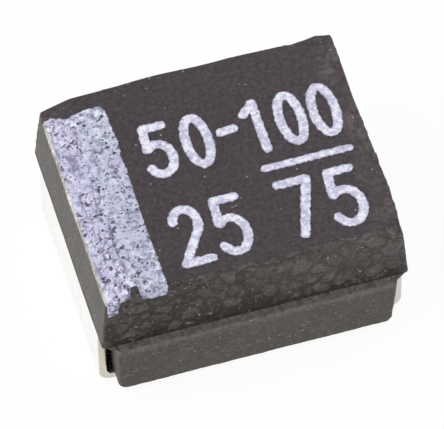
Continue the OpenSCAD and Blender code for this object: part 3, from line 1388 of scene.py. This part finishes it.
@dataclass
class NumberMark(Mark):
    """Rows of plain numerals drawn with a round pen."""

    finish: MarkFinish = field(default_factory=MarkFinish)
    name: str = "number_mark"
    pen: float = 0.055
    places: tuple[Place, ...] = ()
    extra: tuple[Line, ...] = ()

    def build(self) -> bpy.types.Object:
        """Builds the numerals as one film.

        Returns:
            The numerals.
        """
        paths = [path for place in self.places for path in place.strokes()]
        paths += [line.path() for line in self.extra]
        everything = np.concatenate(paths)
        margin = self.pen * 2.0
        low, high = everything.min(axis=0) - margin, everything.max(axis=0) + margin
        along = np.arange(low[0], high[0], self.pitch)
        runs = np.arange(-high[1], -low[1], self.pitch)
        x, run = np.meshgrid(along, runs, indexing="ij")
        depth = np.min([self._distance(x, -run, path) for path in paths], axis=0) - self.pen
        depth = self._roughen(x, run, depth)
        numbers = self._film(self.name, x, run, depth)
        numbers.data.materials.append(self.finish.material())
        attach(numbers, ROOT_BODY)
        return numbers


# ---------------------------------------------------------------------------
# The terminals
# ---------------------------------------------------------------------------


class End(Enum):
    """The two ends of the part, with the sign of X at each."""

    ANODE = -1.0
    CATHODE = 1.0


@dataclass
class Terminal:
    """One end of the leadframe: a strap outside and a lead inside.

    Paths are drawn in X and Z for the +X end and mirrored for the other. Each
    is carried across the part as a strip with rounded edges.
    """

    end: End
    finish: MetalFinish
    node: str
    name: str
    face: float
    parting: float
    half_width: float = 1.15
    thickness: float = 0.1
    foot_length: float = 0.8
    end_gap: float = 0.045
    foot_radius: float = 0.07
    shoulder: float = 0.12
    edge_radius: float = 0.018
    inner_half_width: float = 0.5
    inner_path: tuple[tuple[float, float], ...] = ()

    def _arc(
        self, centre: tuple[float, float], radius: float, start: float, stop: float
    ) -> np.ndarray:
        """Gives points along a bend's middle line, from one angle to another."""
        angle = np.radians(np.linspace(start, stop, 14))
        return np.array(centre) + radius * np.stack([np.cos(angle), np.sin(angle)], axis=1)

    def _strap_path(self) -> np.ndarray:
        """Gives the middle line of the strap, from the shoulder to the foot's tip."""
        half = self.thickness / 2
        case_end = self.face - self.thickness - self.end_gap
        mid = self.parting - half
        head_z = self.parting - self.thickness - self.end_gap
        head = self._arc((case_end, head_z), self.end_gap + half, 90.0, 0.0)
        bend = self._arc(
            (self.face - self.thickness - self.foot_radius, self.thickness + self.foot_radius),
            self.foot_radius + half,
            0.0,
            -90.0,
        )
        upright = np.linspace(head[-1], bend[0], 24)[1:-1]
        start = np.linspace((case_end - self.shoulder, mid), head[0], 6)[:-1]
        foot = np.linspace(bend[-1], (self.face - self.foot_length, half), 20)[1:]
        return np.concatenate([start, head, upright, bend, foot])

    def _strip(self, path: np.ndarray, half_width: float) -> tuple[np.ndarray, np.ndarray]:
        """Carries a strip's section along a path.

        The section is a rectangle with rounded corners, across the part and
        through the thickness. It stays square to the path, and both ends are
        closed.

        Args:
            path: Points of the middle line, in X and Z.
            half_width: Half the strip's width.

        Returns:
            The strip's points and its faces.
        """
        ahead = np.gradient(path, axis=0)
        ahead /= np.linalg.norm(ahead, axis=1, keepdims=True)
        outward = np.stack([-ahead[:, 1], ahead[:, 0]], axis=1)
        radius = self.edge_radius
        turn = np.radians(np.linspace(0.0, 90.0, 5))
        wide, thick = half_width - radius, self.thickness / 2 - radius
        corners = []
        for quarter, (side, face) in enumerate(((1, 1), (-1, 1), (-1, -1), (1, -1))):
            angle = turn + quarter * math.pi / 2
            corners.append(
                np.stack(
                    [side * wide + radius * np.cos(angle), face * thick + radius * np.sin(angle)],
                    axis=1,
                )
            )
        spans = []
        for corner, after in zip(corners, corners[1:] + corners[:1]):
            steps = 40 if abs(corner[-1, 0] - after[0, 0]) > 0.1 else 4
            spans += [corner, np.linspace(corner[-1], after[0], steps)[1:-1]]
        section = np.concatenate(spans)
        rings = np.zeros((len(path), len(section), 3))
        rings[:, :, 0] = path[:, None, 0] + outward[:, None, 0] * section[None, :, 1]
        rings[:, :, 1] = section[None, :, 0]
        rings[:, :, 2] = path[:, None, 1] + outward[:, None, 1] * section[None, :, 1]
        around = len(section)
        points = rings.reshape(-1, 3)
        wave = SKIN.fractal(points, 0.35, 2)[:, None] * 0.004
        spine = np.column_stack([path[:, 0], np.zeros(len(path)), path[:, 1]])
        middle = np.repeat(spine, around, 0)
        away = (points - middle) * (1.0, 0.0, 1.0)
        points = points + away / (self.thickness / 2) * wave
        points[:, 2] = np.maximum(points[:, 2], 0.001)
        ends = [points[:around].mean(axis=0), points[-around:].mean(axis=0)]
        points = np.vstack([points, *ends])
        faces = np.vstack(
            [
                ring_faces(len(rings), around),
                cap_faces(0, around, len(points) - 2, up=False),
                cap_faces((len(rings) - 1) * around, around, len(points) - 1, up=True),
            ]
        )
        return points, faces

    def _inside_path(self) -> np.ndarray:
        """Rounds the inner lead's corners with a quadratic curve at each."""
        corners = np.array(self.inner_path)
        pieces = [corners[:1]]
        share = np.linspace(0.0, 1.0, 10)[:, None]
        for before, corner, after in zip(corners, corners[1:], corners[2:]):
            reach = self.thickness
            start = corner + (before - corner) / np.linalg.norm(before - corner) * reach
            stop = corner + (after - corner) / np.linalg.norm(after - corner) * reach
            pull = 2 * share * (1 - share) * corner
            pieces.append((1 - share) ** 2 * start + pull + share**2 * stop)
        pieces.append(corners[-1:])
        return np.concatenate(pieces)

    def build(self) -> bpy.types.Object:
        """Builds the terminal.

        Returns:
            The terminal.
        """
        strap_points, strap_faces = self._strip(self._strap_path(), self.half_width)
        inner_points, inner_faces = self._strip(self._inside_path(), self.inner_half_width)
        points = np.vstack([strap_points, inner_points])
        faces = np.vstack([strap_faces, inner_faces + len(strap_points)])
        points = points * (self.end.value, 1.0, 1.0)
        if self.end is End.ANODE:
            triangle = (faces[:, 3] == faces[:, 2])[:, None]
            faces = np.where(triangle, faces[:, [1, 0, 2, 2]], faces[:, ::-1])
        terminal = new_mesh(self.name, points, faces)
        recalculate_normals(terminal)
        terminal.data.materials.append(self.finish.material())
        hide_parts(self.node)
        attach(terminal, ROOT_BODY)
        return terminal


def recalculate_normals(thing: bpy.types.Object) -> None:
    """Turns every face of a closed mesh outwards.

    Args:
        thing: The object whose mesh is mended.
    """
    work = bmesh.new()
    work.from_mesh(thing.data)
    bmesh.ops.recalc_face_normals(work, faces=work.faces)
    work.to_mesh(thing.data)
    work.free()


# ---------------------------------------------------------------------------
# The pieces inside
# ---------------------------------------------------------------------------


@dataclass
class InnerPieces:
    """Finishes for the pieces that the case is moulded round."""

    def finishes(self) -> dict[str, MetalFinish | PowderFinish]:
        """Names each inner node's finish."""
        return {
            "tantalum_slug": PowderFinish(
                "sintered_tantalum", (0.10, 0.10, 0.12), (0.26, 0.26, 0.29), 0.7, 0.018, 0.008, 0.6
            ),
            "riser_wire": MetalFinish(
                "drawn_tantalum", (0.42, 0.43, 0.47), (0.34, 0.35, 0.4), 0.3, 0.02, (0.1, 1.0, 1.0)
            ),
            "insulating_washer": PowderFinish(
                "fluoropolymer", (0.80, 0.80, 0.77), (0.88, 0.88, 0.86), 0.45, 0.06, 0.002
            ),
            "manganese_dioxide_layer": PowderFinish(
                "manganese_dioxide", (0.022, 0.018, 0.016), (0.06, 0.052, 0.048), 0.75, 0.02, 0.006
            ),
            "graphite_layer": PowderFinish(
                "graphite", (0.035, 0.035, 0.037), (0.09, 0.09, 0.095), 0.6, 0.03, 0.003
            ),
            "silver_layer": PowderFinish(
                "silver_paint", (0.52, 0.52, 0.53), (0.72, 0.72, 0.73), 0.45, 0.03, 0.004, 0.8
            ),
            "adhesive_bond": PowderFinish(
                "silver_adhesive", (0.40, 0.38, 0.35), (0.58, 0.56, 0.52), 0.5, 0.04, 0.004, 0.6
            ),
        }

    def dress(self) -> None:
        """Gives each inner node its material."""
        for node, finish in self.finishes().items():
            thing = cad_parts[node]
            material = finish.material()
            if thing.material_slots:
                for holder in thing.material_slots:
                    holder.material = material
            else:
                thing.data.materials.append(material)
            log.info("%s: finish %s", node, finish.name)


# ---------------------------------------------------------------------------
# Studio
# ---------------------------------------------------------------------------


@dataclass
class Studio:
    """A pale floor, soft light and the camera."""

    floor_size: float = 400.0
    floor_colour: Colour = (0.92, 0.92, 0.92)
    background_share: float = 0.93
    world_strength: float = 0.75
    key_strength: float = 1.4
    key_width: float = 40.0
    key_azimuth: float = -80.0
    key_elevation: float = 50.0
    azimuth: float = -15.71
    elevation: float = 55.86
    roll: float = 1.02
    distance: float = 76.34
    lens: float = 561.4
    aim: tuple[float, float, float] = (0.020, 0.0, 0.896)

    def _is_seen(self, painter: Painter) -> Signal:
        """Tells camera, glossy and transmission rays from those that light."""
        path = painter.node("ShaderNodeLightPath")
        seen = Signal(painter, path.outputs["Is Camera Ray"])
        seen = seen.most(Signal(painter, path.outputs["Is Glossy Ray"]))
        return seen.most(Signal(painter, path.outputs["Is Transmission Ray"]))

    def floor(self) -> bpy.types.Object:
        """Lays the floor, which shows mostly white and keeps a soft shadow."""
        half = self.floor_size / 2
        points = np.array([(-half, -half, 0), (half, -half, 0), (half, half, 0), (-half, half, 0)])
        floor = new_mesh("floor", points, np.array([[0, 1, 2, 3]]))
        painter = Painter("pale_floor")
        painter.set(base_color=self.floor_colour, roughness=0.9)
        white = (1.0, 1.0, 1.0)
        glow = painter.node("ShaderNodeEmission", None, {"Color": white, "Strength": 1.0})
        mixed = painter.node(
            "ShaderNodeMixShader",
            None,
            {
                0: self._is_seen(painter) * self.background_share,
                1: painter.surface.outputs[0],
                2: glow.outputs[0],
            },
        )
        output = next(n for n in painter.tree.nodes if n.type == "OUTPUT_MATERIAL")
        painter.tree.links.new(mixed.outputs[0], output.inputs["Surface"])
        floor.data.materials.append(painter.material)
        return floor

    def light(self) -> None:
        """Sets a white world and one wide soft key light."""
        world = bpy.data.worlds.new("studio")
        world.use_nodes = True
        bpy.context.scene.world = world
        tree = world.node_tree
        tree.nodes.clear()
        path = tree.nodes.new("ShaderNodeLightPath")
        plain = tree.nodes.new("ShaderNodeBackground")
        plain.inputs["Strength"].default_value = self.world_strength
        plain.inputs["Color"].default_value = (1.0, 1.0, 1.0, 1.0)
        seen = tree.nodes.new("ShaderNodeBackground")
        seen.inputs["Color"].default_value = (1.0, 1.0, 1.0, 1.0)
        mixed = tree.nodes.new("ShaderNodeMixShader")
        output = tree.nodes.new("ShaderNodeOutputWorld")
        either = tree.nodes.new("ShaderNodeMath")
        either.operation = "MAXIMUM"
        tree.links.new(path.outputs["Is Camera Ray"], either.inputs[0])
        tree.links.new(path.outputs["Is Glossy Ray"], either.inputs[1])
        tree.links.new(either.outputs[0], mixed.inputs[0])
        tree.links.new(plain.outputs[0], mixed.inputs[1])
        tree.links.new(seen.outputs[0], mixed.inputs[2])
        tree.links.new(mixed.outputs[0], output.inputs["Surface"])
        lamp = bpy.data.lights.new("key", "SUN")
        lamp.energy = self.key_strength
        lamp.angle = math.radians(self.key_width)
        key = bpy.data.objects.new("key", lamp)
        key.rotation_euler = self._towards(self.key_azimuth, self.key_elevation).to_track_quat(
            "Z", "Y"
        ).to_euler()
        bpy.context.collection.objects.link(key)

    def _towards(self, azimuth: float, elevation: float) -> Vector:
        """Gives the direction towards an eye at an azimuth and elevation."""
        turn, rise = math.radians(azimuth), math.radians(elevation)
        return Vector(
            (math.sin(turn) * math.cos(rise), -math.cos(turn) * math.cos(rise), math.sin(rise))
        )

    def camera(self) -> None:
        """Places the camera, rolled a little about its own axis."""
        back = self._towards(self.azimuth, self.elevation)
        turn = math.radians(self.azimuth)
        right = Vector((math.cos(turn), math.sin(turn), 0.0))
        up = back.cross(right)
        roll = math.radians(self.roll)
        tilted_right = right * math.cos(roll) - up * math.sin(roll)
        tilted_up = right * math.sin(roll) + up * math.cos(roll)
        spot = (Vector(self.aim) + back * self.distance) * MM
        lens = bpy.data.cameras.new("camera")
        lens.lens = self.lens
        lens.sensor_width = 36.0
        lens.clip_start = 0.001
        lens.clip_end = 10.0
        eye = bpy.data.objects.new("camera", lens)
        turned = Matrix((tilted_right, tilted_up, back)).transposed().to_4x4()
        eye.matrix_world = Matrix.Translation(spot) @ turned
        bpy.context.collection.objects.link(eye)
        bpy.context.scene.camera = eye

    def set_up(self) -> None:
        """Builds the whole studio."""
        bpy.context.scene.view_settings.view_transform = "Standard"
        self.camera()
        self.light()
        self.floor()


# ---------------------------------------------------------------------------
# The capacitor
# ---------------------------------------------------------------------------


def numerals(form: CaseForm, finish: MarkFinish) -> list[NumberMark]:
    """Lays out the plain numbers that stand where a value is marked.

    Args:
        form: The case that they lie on.
        finish: The mark's finish.

    Returns:
        One mark for each row.
    """
    tall = 0.63
    upper = (
        Place(Numeral.FIVE, -0.73, 0.045, 0.29, tall),
        Place(Numeral.ZERO, -0.28, 0.045, 0.27, tall),
        Place(Numeral.ONE, 0.40, 0.04, 0.26, tall),
        Place(Numeral.ZERO, 0.79, 0.04, 0.26, tall),
        Place(Numeral.ZERO, 1.17, 0.04, 0.27, tall),
    )
    lower = (
        Place(Numeral.TWO, -0.72, -1.16, 0.30, 0.70),
        Place(Numeral.FIVE, -0.26, -1.16, 0.31, 0.70),
        Place(Numeral.SEVEN, 0.52, -1.16, 0.33, 0.70),
        Place(Numeral.FIVE, 1.03, -1.16, 0.33, 0.70),
    )
    dash = Line((0.13, 0.39), (0.28, 0.405))
    bar = Line((0.45, -0.21), (1.42, -0.205))
    return [
        NumberMark(form, finish=finish, name="upper_number", places=upper, extra=(dash,)),
        NumberMark(form, finish=finish, name="value_bar", pen=0.046, extra=(bar,)),
        NumberMark(form, finish=finish, name="lower_number", places=lower),
    ]


def main() -> None:
    """Builds the capacitor and its studio."""
    logging.basicConfig(level=logging.INFO, format="%(name)s: %(message)s")
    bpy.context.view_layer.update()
    Studio().set_up()
    form = CaseForm.from_frame()
    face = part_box("cathode_terminal")[1].x / MM
    mark = MarkFinish()
    builders = [
        MouldedCase(form, EpoxyFinish()),
        PolarityBand(form),
        *numerals(form, mark),
        Terminal(
            End.ANODE,
            # Both terminals are the same tin. The anode's copy is painted near-white, a painted
            # reflection of the bright light from the left on its outer face; the cathode's copy is
            # darker.
            MetalFinish(
                "tin_anode_painted_bright", (0.98, 0.98, 0.96), (0.95, 0.94, 0.92), 0.26,
                cut=(0.50, 0.44, 0.33), cut_from=1.15,
            ),
            "anode_terminal",
            "anode_lead",
            face,
            form.parting,
            inner_half_width=0.5,
            inner_path=((1.58, 0.92), (1.35, 0.92), (1.1, 0.92)),
        ),
        Terminal(
            End.CATHODE,
            # The cathode's copy of the same tin, without the anode's painted brightness.
            MetalFinish(
                "tin_cathode", (0.80, 0.79, 0.79), (0.70, 0.69, 0.69), 0.36,
                cut=(0.56, 0.54, 0.54), cut_from=1.15,
            ),
            "cathode_terminal",
            "cathode_lead",
            face,
            form.parting,
            inner_half_width=0.85,
            inner_path=((1.58, 0.92), (1.35, 0.92), (1.35, 0.37), (-0.04, 0.37)),
        ),
    ]
    for builder in builders:
        piece = builder.build()
        log.info("%s: %d faces", piece.name, len(piece.data.polygons))
    InnerPieces().dress()


if __name__ == "__main__":
    main()
